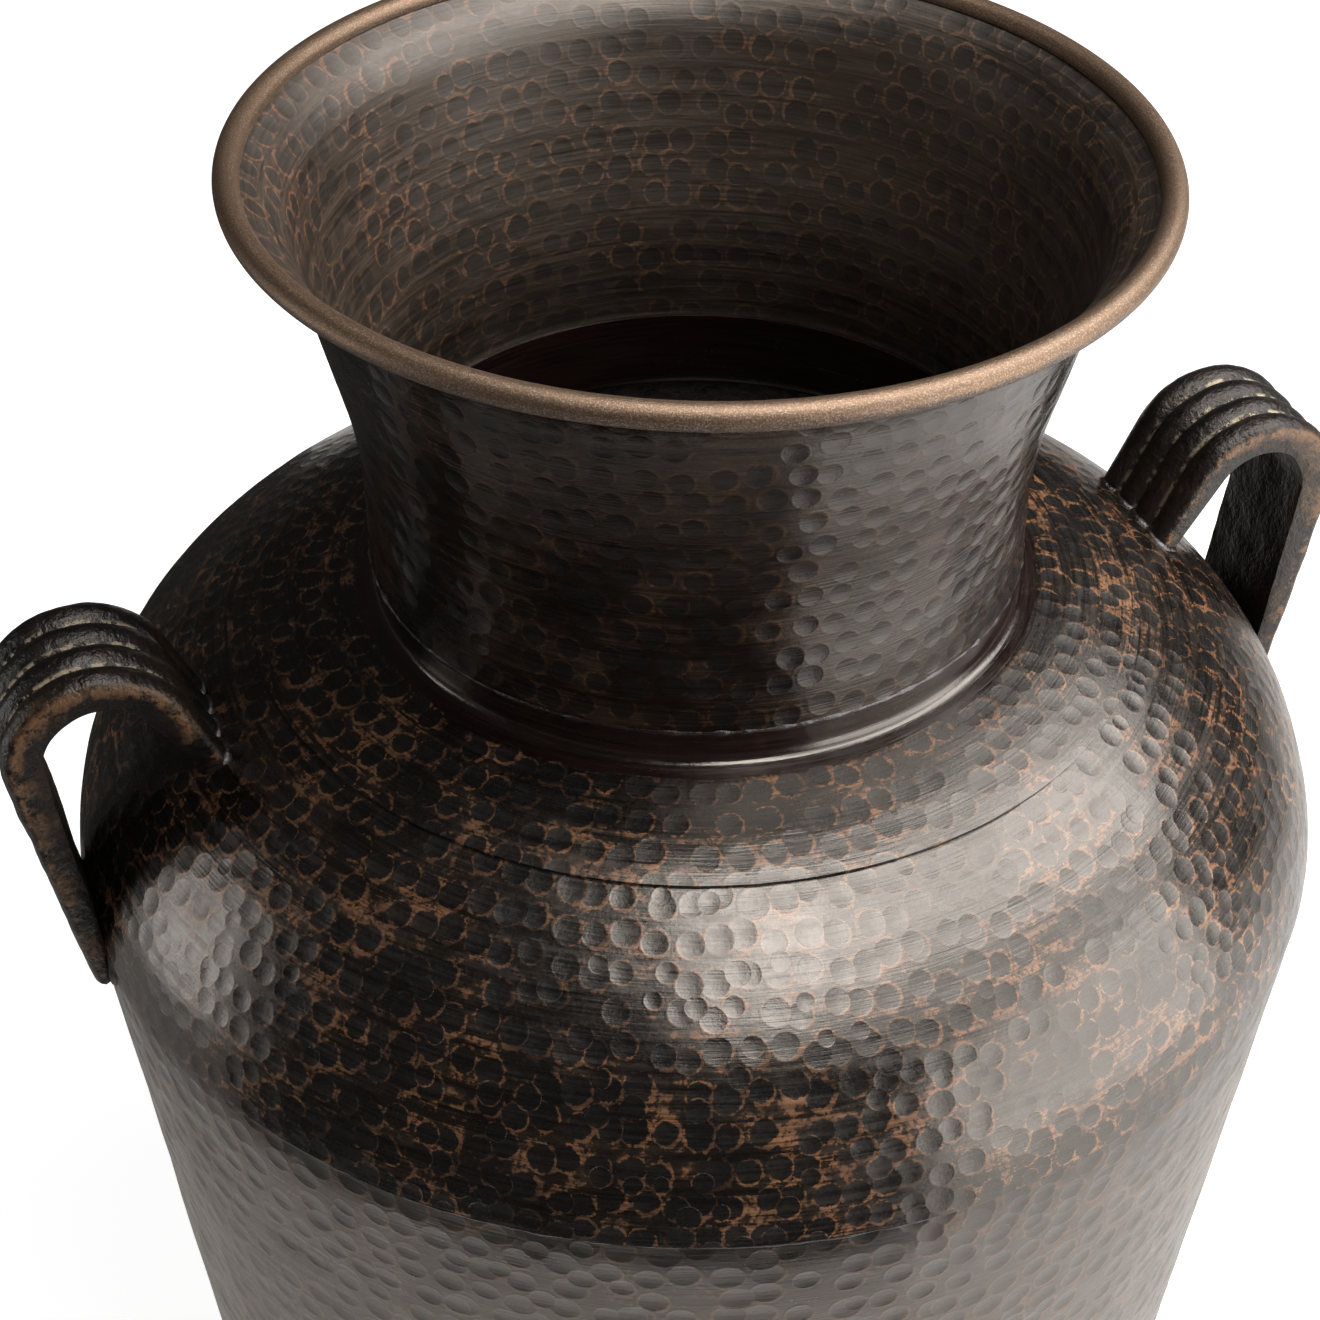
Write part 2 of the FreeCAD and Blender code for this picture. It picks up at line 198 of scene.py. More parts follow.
class Forms:
    """The urn's profiles, worked out from its sizes."""

    def __init__(self, scene):
        body, neck = scene.urn_body, scene.urn_neck
        self.body, self.neck_sizes, self.handles = body, neck, scene.urn_handles
        self.shoulder = (body.girth_radius - body.shoulder_radius, body.girth_height)
        drop = body.shoulder_radius - body.crown_radius
        self.crown = (self.shoulder[0] + drop * math.sin(body.crown_turn),
                      self.shoulder[1] + drop * math.cos(body.crown_turn))
        self.upper = (body.gap, body.gap + body.sheet)
        self.cap_out = self.upper[1] + body.gap + body.sheet
        self.cap_edge = body.collar_radius + body.cap_share * (body.girth_radius - body.collar_radius)
        self.seam = math.acos(body.seam_rise / body.shoulder_radius)
        normal = self.crown_normal(body.collar_radius, self.cap_out)
        self.root = self.crown[1] + (body.crown_radius + self.cap_out) * math.cos(normal)
        self.rim = self.root + neck.height
        self.bead = (neck.mouth_radius, self.rim - neck.bead_radius)
        self.wire_radius = neck.bead_radius - neck.bead_sheet - body.gap
        self.foot_radius = body.collar_radius + body.gap + body.sheet

    def crown_normal(self, radius, offset):
        return math.asin((radius - self.crown[0]) / (self.body.crown_radius + offset))

    def lower_chain(self):
        body = self.body
        wall = math.pi / 2 + body.wall_taper
        lap = math.acos((body.seam_rise + body.girth_lap) / body.shoulder_radius)
        top = (self.shoulder[0] + body.shoulder_radius * math.sin(wall),
               self.shoulder[1] + body.shoulder_radius * math.cos(wall))
        fall = top[1] - body.corner_radius * (1 + math.cos(wall))
        corner = (top[0] - fall * math.tan(body.wall_taper) - body.corner_radius * math.sin(wall),
                  body.corner_radius)
        return [(self.shoulder, body.shoulder_radius, lap, wall),
                (corner, body.corner_radius, wall, math.pi),
                ((corner[0] - body.flange_width, 0.0), 0.0, math.pi, math.pi)]

    def upper_chain(self):
        body = self.body
        hole = self.crown_normal(self.cap_edge - body.cap_lap, self.upper[1])
        return [(self.crown, body.crown_radius, hole, body.crown_turn),
                (self.shoulder, body.shoulder_radius, body.crown_turn, self.seam)]

    def cap_chain(self):
        body = self.body
        edge = self.crown_normal(self.cap_edge, self.cap_out)
        middle = body.collar_radius + body.root_fillet
        reach = body.crown_radius + self.cap_out + body.root_fillet
        turned = self.crown_normal(middle, self.cap_out + body.root_fillet)
        centre = (middle, self.crown[1] + reach * math.cos(turned))
        return [((body.collar_radius, self.root + body.collar_height), 0.0, math.pi / 2, math.pi / 2),
                (centre, -body.root_fillet, math.pi / 2, turned),
                (self.crown, body.crown_radius + self.cap_out, turned, edge)]

    def neck_chain(self):
        neck, half = self.neck_sizes, self.body.sheet / 2
        reach = self.wire_radius + self.body.gap
        slope = neck.lip_angle
        lip = (self.bead[0] - reach * math.sin(slope) + (neck.lip_radius + half) * math.cos(slope),
               self.bead[1] - reach * math.cos(slope) - (neck.lip_radius + half) * math.sin(slope))
        waist = (self.foot_radius, self.root + neck.waist_rise)
        flare = tangent_turn(waist, lip, neck.lip_radius, -1)
        run = neck.bend_radius * math.tan(flare / 2)
        bend = (self.foot_radius + neck.bend_radius, waist[1] - run)
        level = math.pi / 2
        return [((self.foot_radius, self.root + neck.foot_rise), 0.0, level, level),
                (bend, -neck.bend_radius, level, level + flare),
                (lip, -neck.lip_radius, level + flare, level + slope)]

    def lean(self, points):
        """Tips the rim a little, as on the handmade original, and leaves the root where it is."""
        neck = self.neck_sizes
        rise = np.clip((points[..., 2] - self.root) / neck.height, 0, 1.05)
        points[..., 2] += rise * (neck.lean_x * points[..., 0] + neck.lean_y * points[..., 1])
        return points


def tangent_turn(point, centre, radius, side):
    """Angle from +Z outwards of the line from a point that touches a circle."""
    across, up = centre[0] - point[0], centre[1] - point[1]
    return math.atan2(across, up) + side * math.asin(radius / math.hypot(across, up))


# Meshes: a grid of rings, closed round each ring and, for turned pieces, from the last to the first

def grid_mesh(name, points, wrap, sharp=SMOOTH_BEND, capped=True, **fields):
    rings, around = points.shape[:2]
    index = np.arange(rings * around).reshape(rings, around)
    this = index if wrap else index[:-1]
    following = np.roll(index, -1, 0) if wrap else index[1:]
    quads = np.stack([this, np.roll(this, -1, 1), np.roll(following, -1, 1), following], -1).reshape(-1, 4)
    corners = points.reshape(-1, 3)
    first, second, third = (corners[quads[:, k]] for k in (0, 1, 2))
    fourth = corners[quads[:, 3]]
    volume = (np.cross(first, second) * third).sum() + (np.cross(first, third) * fourth).sum()
    faces = [tuple(q) for q in (quads if volume > 0 else quads[:, ::-1]).tolist()]
    if capped and not wrap:
        ends = [index[0].tolist()[::-1], index[-1].tolist()]
        faces += [end if volume > 0 else end[::-1] for end in ends]
    mesh = bpy.data.meshes.new(name)
    mesh.from_pydata(corners.tolist(), [], faces)
    for field, values in fields.items():
        layer = mesh.attributes.new(field, "FLOAT", "POINT")
        layer.data.foreach_set("value", np.ascontiguousarray(values, np.float32).ravel())
    mesh.shade_smooth()
    mesh.set_sharp_from_angle(angle=sharp)
    piece = bpy.data.objects.new(name, mesh)
    bpy.context.scene.collection.objects.link(piece)
    return piece


def turned(loop, segments):
    """A section loop turned round the axis: rings of points, one ring for each segment."""
    angles = np.linspace(0, 2 * math.pi, segments, endpoint=False)[:, None]
    radius, height = loop[None, :, 0], loop[None, :, 1]
    return np.stack([radius * np.cos(angles), radius * np.sin(angles), height + 0 * angles], -1)


def place(piece, slot, material, *nodes):
    piece.data.materials.clear()
    piece.data.materials.append(material)
    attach(piece, BODY)
    if nodes:
        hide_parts(*nodes)
    return piece


def line_inside(piece, material):
    """Gives the inside of a shell a finish of its own."""
    mesh = piece.data
    mesh.materials.append(material)
    lining = np.zeros(len(mesh.vertices), np.float32)
    mesh.attributes["lining"].data.foreach_get("value", lining)
    first = np.zeros(len(mesh.polygons), np.int32)
    mesh.polygons.foreach_get("loop_start", first)
    corner = np.zeros(len(mesh.loops), np.int32)
    mesh.loops.foreach_get("vertex_index", corner)
    mesh.polygons.foreach_set("material_index", (lining[corner[first]] > 0.5).astype(np.int32))
    mesh.update()


def ring_section(centre, radius, start, end, count):
    """Points of an arc in the plane of radius and height."""
    angles = np.linspace(start, end, count)
    return np.array(centre) + radius * np.stack([np.sin(angles), np.cos(angles)], 1)


def shell(name, chain, faces, steps, segments, lean):
    """A sheet turned round the axis, outside and then back along the inside, and what its finish reads."""
    outside = walk(chain, faces[0], steps[0])
    inside = walk(chain, faces[1], steps[1])[::-1]
    out_run, in_run = run_length(outside), run_length(inside)[::-1]
    face = np.clip(outside[:, 1] / 0.012 - 0.3, 0, 1)
    fields = {"along": (out_run, in_run * out_run[-1] / in_run.max()),
              "outside": (face, np.zeros(len(inside))),
              "lining": (np.zeros(len(outside)), np.ones(len(inside)))}
    points = turned(np.concatenate([outside, inside]), segments)
    spread = np.ones((segments, 1))
    return grid_mesh(name, lean(points) if lean else points, True,
                     **{field: spread * np.concatenate(values) for field, values in fields.items()})


# Finishes: one set of nodes draws the hammer marks for the shaders and for the modelled dents

class Field:
    """A value that a node gives, with the signs of arithmetic."""

    def __init__(self, bench, socket):
        self.bench, self.socket = bench, socket

    def __add__(self, other):
        return self.bench.maths("ADD", self, other)

    def __sub__(self, other):
        return self.bench.maths("SUBTRACT", self, other)

    def __rsub__(self, other):
        return self.bench.maths("SUBTRACT", other, self)

    def __mul__(self, other):
        return self.bench.maths("MULTIPLY", self, other)

    def __truediv__(self, other):
        return self.bench.maths("DIVIDE", self, other)

    __radd__, __rmul__ = __add__, __mul__

    def most(self, other):
        return self.bench.maths("MAXIMUM", self, other)

    def under(self, other):
        return self.bench.maths("LESS_THAN", self, other)

    def floor(self):
        return self.bench.maths("FLOOR", self)

    def root(self):
        return self.bench.maths("SQRT", self)

    def off(self, middle):
        """How far the value is from a middle value, on either side."""
        return self.bench.maths("ABSOLUTE", self - middle)

    def rise(self, low, high, to_low=0.0, to_high=1.0):
        """Goes smoothly from one value to the other between two limits."""
        return self.bench.out("ShaderNodeMapRange", (self, low, high, to_low, to_high),
                              interpolation_type="SMOOTHSTEP", clamp=True)


class Bench:
    """Short names for the nodes that a finish is made from."""

    def __init__(self, tree):
        self.tree = tree

    def node(self, kind, **settings):
        made = self.tree.nodes.new(kind)
        for key, value in settings.items():
            setattr(made, key, value)
        return made

    def feed(self, socket, value):
        if isinstance(value, Field):
            value = value.socket
        if isinstance(value, bpy.types.NodeSocket):
            self.tree.links.new(value, socket)
        elif socket.type == "RGBA":
            socket.default_value = (*value, 1.0)
        else:
            socket.default_value = value

    def out(self, kind, values, **settings):
        """The first output of a new node that is fed with the values in order."""
        made = self.node(kind, **settings)
        for socket, value in zip(made.inputs, values):
            self.feed(socket, value)
        return Field(self, made.outputs[0])

    def maths(self, operation, *values):
        return self.out("ShaderNodeMath", values, operation=operation)

    def joined(self, *values):
        return self.out("ShaderNodeCombineXYZ", values)

    def scaled(self, vector, share_of):
        """A colour or a direction times one value."""
        shares = self.joined(share_of, share_of, share_of)
        return self.out("ShaderNodeVectorMath", (vector, shares), operation="MULTIPLY")

    def parts(self, vector):
        made = self.node("ShaderNodeSeparateXYZ")
        self.feed(made.inputs[0], vector)
        return [Field(self, socket) for socket in made.outputs[:3]]

    def place_of(self):
        return Field(self, self.node("ShaderNodeTexCoord").outputs["Object"])

    def field(self, name):
        return Field(self, self.node("ShaderNodeAttribute", attribute_name=name).outputs["Fac"])

    def cloud(self, vector, scale, detail=2.0, rough=0.5):
        made = self.node("ShaderNodeTexNoise")
        for label, value in (("Vector", vector), ("Scale", scale), ("Detail", detail), ("Roughness", rough)):
            self.feed(made.inputs[label], value)
        return Field(self, made.outputs[0])

    def chance(self, *values):
        made = self.node("ShaderNodeTexWhiteNoise", noise_dimensions="3D")
        self.feed(made.inputs["Vector"], self.joined(*values))
        return self.parts(made.outputs["Color"])

    def blend(self, share_of, first, second):
        made = self.node("ShaderNodeMix", data_type="RGBA")
        colours = [socket for socket in made.inputs if socket.type == "RGBA"]
        for socket, value in zip((made.inputs[0], *colours), (share_of, first, second)):
            self.feed(socket, value)
        return Field(self, next(socket for socket in made.outputs if socket.type == "RGBA"))

    def bump(self, height, distance, below=None):
        bump = self.node("ShaderNodeBump")
        bump.inputs["Strength"].default_value = 1.0
        bump.inputs["Distance"].default_value = distance
        self.feed(bump.inputs["Height"], height)
        if below is not None:
            self.feed(bump.inputs["Normal"], below)
        return bump.outputs[0]


def hammer_marks(bench, along, place_of, marks):
    """Rows of round hammer marks: how far from the nearest mark's middle, and on which side of it."""
    x, y, _ = bench.parts(place_of)
    reach = (x * x + y * y).root()
    whole = bench.maths("ARCTAN2", y, x) * (0.5 / math.pi) + 0.5
    drift = bench.cloud(place_of, DRIFT_SCALE, 1.0) - 0.5
    found = (FAR, 0.0, 0.5)
    for layer_of in marks["layers"]:
        found = mark_rows(bench, along, (reach, whole, drift), marks["radii"], layer_of, found)
    if marks["plain"]:
        unhit = along.rise(marks["plain"], marks["plain"] - 0.0015, 0.0, FAR)
        found = (found[0].most(unhit), *found[1:])
    return found


def mark_rows(bench, along, ground, radii, layer_of, found):
    """One layer of marks. Each cuts into the mark to its right and into the row below it."""
    reach, whole, drift = ground
    pitch, seed, jitter = (layer_of[key] for key in ("row_pitch", "seed", "jitter"))
    row = along / pitch + drift * layer_of["drift"]
    first_row = (row - 0.5).floor()
    for below in (1, 0):
        level = first_row + below
        radius = radii[0]
        for term in radii[1:]:
            radius = radius * (level * pitch) + term
        count = bench.maths("ROUND", radius * (2 * math.pi / layer_of["pitch"]))
        column = whole * count + bench.chance(level, seed, 7.0)[0]
        wide = reach * (2 * math.pi) / count
        first_column = (column - 0.5).floor()
        for right in (1, 0):
            spot = first_column + right
            which = bench.maths("FLOORED_MODULO", spot, count)
            odds = bench.chance(which, level, seed)
            more = bench.chance(which, level, seed + 0.5)
            across = (column - spot - ((odds[0] - 0.5) * jitter + 0.5)) * wide
            down = (row - level - ((odds[1] - 0.5) * jitter + 0.5)) * pitch
            away = (across * across + down * down).root()
            far = away / (odds[2] * layer_of["size_spread"] + layer_of["size"])
            far = far + more[0].under(layer_of["left_out"]) * FAR
            slant = (across * 0.85 + down * 0.53) / away.most(1e-6)
            hit = far.under(1.0).most(far.under(found[0]))
            found = [(now - was) * hit + was for was, now in zip(found, (far, slant, more[1]))]
    return found


def dent_depth(nearest):
    """A shallow bowl with a low raised rim."""
    bowl = (1.0 - nearest * nearest).most(0.0)
    return bowl - nearest.off(1.06).rise(0.22, 0.0, 0.0, 0.16)


def hammer(piece, marks):
    """Drives the marks into the outside of a shell as real dents."""
    tree = bpy.data.node_groups.new(f"{piece.name} dents", "GeometryNodeTree")
    for way in ("INPUT", "OUTPUT"):
        tree.interface.new_socket("Geometry", in_out=way, socket_type="NodeSocketGeometry")
    bench = Bench(tree)
    entry, leave = bench.node("NodeGroupInput"), bench.node("NodeGroupOutput")
    fields = []
    for field in ("along", "outside"):
        reader = bench.node("GeometryNodeInputNamedAttribute", data_type="FLOAT")
        reader.inputs["Name"].default_value = field
        fields.append(Field(bench, reader.outputs["Attribute"]))
    place_of = bench.node("GeometryNodeInputPosition").outputs[0]
    normal = bench.node("GeometryNodeInputNormal").outputs[0]
    nearest, _, tone = hammer_marks(bench, fields[0], place_of, marks)
    depth = dent_depth(nearest) * tone.rise(0.0, 1.0, 0.6, 1.3) * marks["depth"]
    wave = (bench.cloud(place_of, WAVE_SCALE, 1.5) - 0.5) * marks["wave"]
    depth = (depth + wave) * fields[1]
    settle = bench.node("GeometryNodeSetPosition")
    bench.feed(settle.inputs["Geometry"], entry.outputs[0])
    bench.feed(settle.inputs["Offset"], bench.scaled(normal, depth * -1.0))
    bench.feed(leave.inputs[0], settle.outputs[0])
    modifier = piece.modifiers.new("Dents", "NODES")
    modifier.node_group = tree
    graph = bpy.context.evaluated_depsgraph_get()
    formed = bpy.data.meshes.new_from_object(piece.evaluated_get(graph))
    piece.modifiers.clear()
    plain = piece.data
    piece.data = formed
    formed.name = piece.name
    bpy.data.meshes.remove(plain)


def layer(**plan):
    """One layer of marks: its rows, its spacing, the size of a mark and the share left out."""
    return {"seed": 3.0, "row_pitch": 0.0094, "pitch": 0.0073, "size": 0.0031, "size_spread": 0.0008,
            "jitter": 0.36, "drift": 0.55, "left_out": 0.06, **plan}


def hammered_shell(name, chain, faces, steps, segments, layers, depth=0.00010, wave=0.0011,
                   plain=0.0, lean=None):
    """A shell with its dents, and its plan of marks: the rows' radii follow the run along the profile."""
    points = walk(chain, faces[0], 0.002)
    fit = np.polyfit(run_length(points), points[:, 0], 4)
    marks = {"radii": [float(value) for value in fit], "layers": layers, "depth": depth, "wave": wave,
             "plain": plain}
    piece = shell(name, chain, faces, steps, segments, lean)
    hammer(piece, marks)
    return piece, marks


def empty_bench(owner):
    """A bench for a material or a world, with nothing on it."""
    owner.use_nodes = True
    owner.node_tree.nodes.clear()
    return Bench(owner.node_tree)


def new_finish(name, shine=None, tint=None):
    material = bpy.data.materials.new(name)
    bench = empty_bench(material)
    surface = bench.node("ShaderNodeBsdfPrincipled")
    bench.feed(bench.node("ShaderNodeOutputMaterial").inputs["Surface"], surface.outputs[0])
    if shine:
        surface.inputs["IOR"].default_value = 1.55
        surface.inputs["Specular IOR Level"].default_value = shine
    if tint:
        surface.inputs["Specular Tint"].default_value = (*tint, 1.0)
    return material, bench, surface


def coat(bench, surface, base, roughness, shape):
    """Gives a surface its colour, its roughness and its fine relief."""
    for label, value in (("Base Color", base), ("Roughness", roughness), ("Normal", shape)):
        bench.feed(surface.inputs[label], value)


def brushed(bench, along, place_of, fine, long_way):
    """Brush lines that run round the vessel."""
    x, y, _ = bench.parts(place_of)
    return bench.cloud(bench.joined(x * long_way, y * long_way, along * fine), 1.0, 3.0, 0.6)


def hammered_finish(name, marks, shine=1.0, bare=1.0, rough=0.27, haze=0.0, blotch=1.0,
                    wash=None, full=0.0, deep=None, fade=None):
    """Dark patina, bluish in the hollows, worn to copper on the right-hand rims of the marks; with deep,
    darkened towards the bottom as painted shade.
    """
    finish = bpy.context.scene.urn_finish
    material, bench, surface = new_finish(name, shine, WARM_GLOSS)
    along, place_of = bench.field("along"), bench.place_of()
    nearest, side, tone = hammer_marks(bench, along, place_of, marks)
    height = bench.parts(place_of)[2]
    grain = bench.cloud(place_of, 800.0, 3.0, 0.62)
    speck = bench.cloud(place_of, 2600.0, 2.0, 0.6)
    cloud = bench.cloud(place_of, 42.0, 3.0, 0.6)
    patch = bench.cloud(place_of, 230.0, 3.0, 0.65)
    brush = brushed(bench, along, place_of, 1500.0, 45.0)
    streak = brushed(bench, along, place_of, 520.0, 22.0)
    inside = nearest.rise(0.98, 0.86)
    land = 1.0 - inside
    base = bench.blend(inside, wash or finish.patina, finish.hollow)
    if haze:
        haze_of = streak.rise(0.30, 0.66, 0.35, 1.0) * haze * inside.rise(0.0, 1.0, 1.0, 0.45)
        if fade:
            haze_of = haze_of * height.rise(fade, fade - 0.035)
        base = bench.blend(haze_of, base, finish.lining)
    warm = cloud.rise(0.40, 0.62) * streak.rise(0.36, 0.62, 0.25, 1.0)
    base = bench.blend(warm * (land * 0.6 + 0.25), base, finish.umber)
    ragged = (grain - 0.5) * 0.55 + (patch - 0.5) * 0.85
    reach = side.most(full - 0.4) * 0.075 + 0.065 + ragged
    worn = (reach - nearest.off(1.05)).rise(-0.02, 0.05)
    smear = patch * 0.6 + streak * 0.4 + cloud * 0.5
    lands = smear.rise(0.775, 0.86) * land * grain.rise(0.40, 0.52)
    worn = worn.most(lands * blotch) * cloud.rise(0.36, 0.60, 0.14, 1.0)
    worn = worn * streak.rise(0.36, 0.46, 0.3, 1.0)
    gloss = (grain - 0.5) * 0.20 + rough + (tone - 0.5) * 0.06 + (streak - 0.5) * 0.30
    gloss = gloss + (brush - 0.5) * 0.14
    if marks["plain"]:
        edge = along + (grain - 0.5) * 0.003
        unhit = edge.rise(marks["plain"] + 0.001, marks["plain"] - 0.0008)
        worn = worn * (1.0 - unhit)
        gloss = gloss - unhit * 0.08
        base = bench.blend(unhit, base, finish.maroon)
    metal = bench.blend(speck, finish.copper, finish.pale_copper)
    base = bench.blend(worn * bare, base, metal)
    base = bench.scaled(base, brush.rise(0.36, 0.64, 0.58, 1.42))
    # painted shade: the colour darkens towards the neck's root, down to 0.12 of itself, where the deep inside
    # of the neck lies in shade
    if deep:
        base = bench.scaled(base, height.rise(deep[0], deep[1], 0.12, 1.0))
    shape = bench.bump(dent_depth(nearest) * -1.0, marks["depth"])
    shape = bench.bump(grain * 0.35 + brush * 0.65, 0.00011, shape)
    coat(bench, surface, base, gloss, shape)
    return material


def cast_finish(name, light, dark, size=700.0, rough=0.42, wear=0.5):
    """Cast or brazed metal: pitted, darker in the hollows, with clouds of bright wear."""
    material, bench, surface = new_finish(name, 1.0)
    place_of = bench.place_of()
    pits = bench.cloud(place_of, size, 4.0, 0.62)
    cloud = bench.cloud(place_of, size / 9, 3.0, 0.6)
    mask = pits.rise(0.42, 0.62) * cloud.rise(0.40, 0.64)
    base = bench.blend(mask * wear, dark, light)
    coat(bench, surface, base, (cloud - 0.5) * 0.3 + rough, bench.bump(pits, 0.00035))
    return material


def handle_finish(name):
    """Black casting, rubbed orange-brown at its edges, with a painted highlight of bright metal colour in the
    grooves over the crown.
    """
    finish = bpy.context.scene.urn_finish
    material, bench, surface = new_finish(name, 0.42, (1.0, 0.91, 0.83))
    place_of = bench.place_of()
    edge, groove, crown = (bench.field(field) for field in ("edge", "groove", "crown"))
    pits = bench.cloud(place_of, 520.0, 4.0, 0.66)
    cloud = bench.cloud(place_of, 62.0, 4.0, 0.65)
    flake = bench.cloud(place_of, 210.0, 3.0, 0.7)
    rust = (cloud * 0.6 + flake * 0.4 + (edge * 0.17 + crown * 0.03)).rise(0.59, 0.69)
    base = bench.blend(rust * pits.rise(0.36, 0.56), finish.iron, finish.ochre)
    brown = (cloud + pits * 0.3).rise(0.60, 0.78)
    base = bench.blend(brown * 0.5, base, finish.umber)
    lip = edge.rise(0.55, 0.95) * (flake + crown * 0.1).rise(0.50, 0.58)
    base = bench.blend(lip * 0.5, base, finish.pale_copper)
    # painted highlight: bright metal colour in the grooves, strongest over the crown, stands for light caught
    # in them
    bright = groove.rise(0.0, 0.4) * flake.rise(0.47, 0.54) * crown.rise(0.05, 0.7, 0.35, 1.0)
    base = bench.blend(bright, base, finish.rubbed)
    shape = bench.bump(pits, 0.00040, bench.bump(flake, 0.0007))
    coat(bench, surface, base, (pits - 0.5) * 0.45 + 0.36, shape)
    return material


def rim_finish(name):
    """Brushed bronze with fine sparkle, darker where it faces downwards: painted shade on the rim's
    underside.
    """
    finish = bpy.context.scene.urn_finish
    material, bench, surface = new_finish(name)
    place_of = bench.place_of()
    sparkle = bench.cloud(place_of, 2400.0, 3.0, 0.7)
    cloud = bench.cloud(place_of, 130.0, 3.0, 0.6)
    upward = bench.parts(bench.node("ShaderNodeNewGeometry").outputs["Normal"])[2]
    # painted shade: the rim turns to its darker colour where it faces downwards, broken up by clouds
    top = (upward + (cloud - 0.5) * 0.9).rise(-0.35, 0.25)
    base = bench.blend(top, finish.bronze_painted_shade, finish.bronze)
    base = bench.blend(sparkle.rise(0.48, 0.62) * 0.45, base, SPARKLE)
    bench.feed(surface.inputs["Metallic"], top * 0.75)
    coat(bench, surface, base, sparkle * 0.25 + 0.30, bench.bump(sparkle, 0.00012))
    return material


# The pieces, one operator for each piece or group of like pieces

class URN_OT_lower_body(bpy.types.Operator):
    """Raise the lower half: a tapered wall on a flanged base, hammered in long shallow marks"""
    bl_idname = "urn.lower_body"
    bl_label = "Lower body"

    def execute(self, context):
        forms = Forms(context.scene)
        layers = [layer(seed=5.0, pitch=0.0104, row_pitch=0.0098, size=0.0036, size_spread=0.0010),
                  layer(seed=6.0, pitch=0.0110, row_pitch=0.0120, size=0.0030, size_spread=0.0012,
                        left_out=0.72)]
        piece, marks = hammered_shell("lower_body_shell", forms.lower_chain(), (0.0, -forms.body.sheet),
                                      (0.0023, 0.009), 560, layers, depth=0.00016)
        finish = hammered_finish("Hammered lower wall", marks, bare=0.35, rough=0.34, haze=0.95,
                                 fade=forms.body.girth_height)
        place(piece, "hammered_body", finish, "lower_body")
        return {"FINISHED"}


class URN_OT_upper_body(bpy.types.Operator):
    """Raise the upper half: the shoulder, hammered in close rows of round marks"""
    bl_idname = "urn.upper_body"
    bl_label = "Upper body"

    def execute(self, context):
        forms = Forms(context.scene)
        layers = [layer(seed=11.0, left_out=0.10),
                  layer(seed=12.0, pitch=0.0084, row_pitch=0.0088, size=0.0022, size_spread=0.0012,
                        left_out=0.74)]
        piece, marks = hammered_shell("upper_body_shell", forms.upper_chain(), forms.upper[::-1],
                                      (0.00135, 0.005), 880, layers, depth=0.000085)
        place(piece, "hammered_body", hammered_finish("Hammered shoulder", marks, bare=0.86), "upper_body")
        return {"FINISHED"}


class URN_OT_shoulder_cap(bpy.types.Operator):
    """Form the shoulder cap, with its collar and the bend at the neck's root"""
    bl_idname = "urn.shoulder_cap"
    bl_label = "Shoulder cap"

    def execute(self, context):
        forms = Forms(context.scene)
        chain = forms.cap_chain()
        collar = run_length(walk(chain[:2], 0.0, 0.001))[-1]
        piece, marks = hammered_shell("shoulder_cap_shell", chain, (0.0, -forms.body.sheet),
                                      (0.00135, 0.004), 640, [layer(seed=17.0)], depth=0.000065,
                                      plain=collar + 0.0035)
        place(piece, "hammered_body", hammered_finish("Hammered cap", marks), "shoulder_cap")
        return {"FINISHED"}


class URN_OT_neck(bpy.types.Operator):
    """Raise the flared neck, ringed with hammer marks inside"""
    bl_idname = "urn.neck"
    bl_label = "Neck"

    def execute(self, context):
        forms = Forms(context.scene)
        piece, marks = hammered_shell("neck_shell", forms.neck_chain(), (0.0, -forms.body.sheet),
                                      (0.0016, 0.0016), 520,
                                      [layer(seed=23.0, pitch=0.0088, row_pitch=0.0090)],
                                      wave=0.0008, lean=forms.lean)
        finish = hammered_finish("Hammered neck", marks, shine=0.82, bare=0.14, rough=0.21, blotch=0.2,
                                 wash=context.scene.urn_finish.lacquer)
        place(piece, "hammered_neck", finish, "neck")
        # the lining gets painted shade towards the neck's root (deep)
        line_inside(piece, hammered_finish("Neck lining", marks, shine=0.95, bare=0.62, rough=0.46,
                                           haze=1.0, blotch=0.3, full=0.5,
                                           deep=(forms.root, forms.root + 0.075)))
        return {"FINISHED"}


class URN_OT_rim(bpy.types.Operator):
    """Roll the split rim round its wire"""
    bl_idname = "urn.rim"
    bl_label = "Rim"

    def execute(self, context):
        forms = Forms(context.scene)
        neck = forms.neck_sizes
        inner = neck.bead_radius - neck.bead_sheet
        slot = math.pi + neck.lip_angle
        half_slot = math.asin((forms.body.sheet / 2 + 0.00025) / inner)
        start, end = slot + half_slot, slot + 2 * math.pi - half_slot
        outside = ring_section(forms.bead, neck.bead_radius, start, end, 30)
        inside = ring_section(forms.bead, inner, end, start, 14)
        points = forms.lean(turned(np.concatenate([outside, inside]), 640))
        rim = grid_mesh("rim_roll", points, True)
        place(rim, "rim_bronze", rim_finish("Brushed rim"), "rim_bead")
        circle = ring_section(forms.bead, forms.wire_radius, 0, 2 * math.pi, 17)[:-1]
        wire = grid_mesh("rim_core", forms.lean(turned(circle, 320)), True)
        steel = cast_finish("Rim wire", (0.30, 0.29, 0.28), (0.10, 0.095, 0.09), size=900.0)
        place(wire, "rim_wire", steel, "rim_wire")
        return {"FINISHED"}


# Handles: pairs of points on the inner and the outer face, from the upper foot to the lower

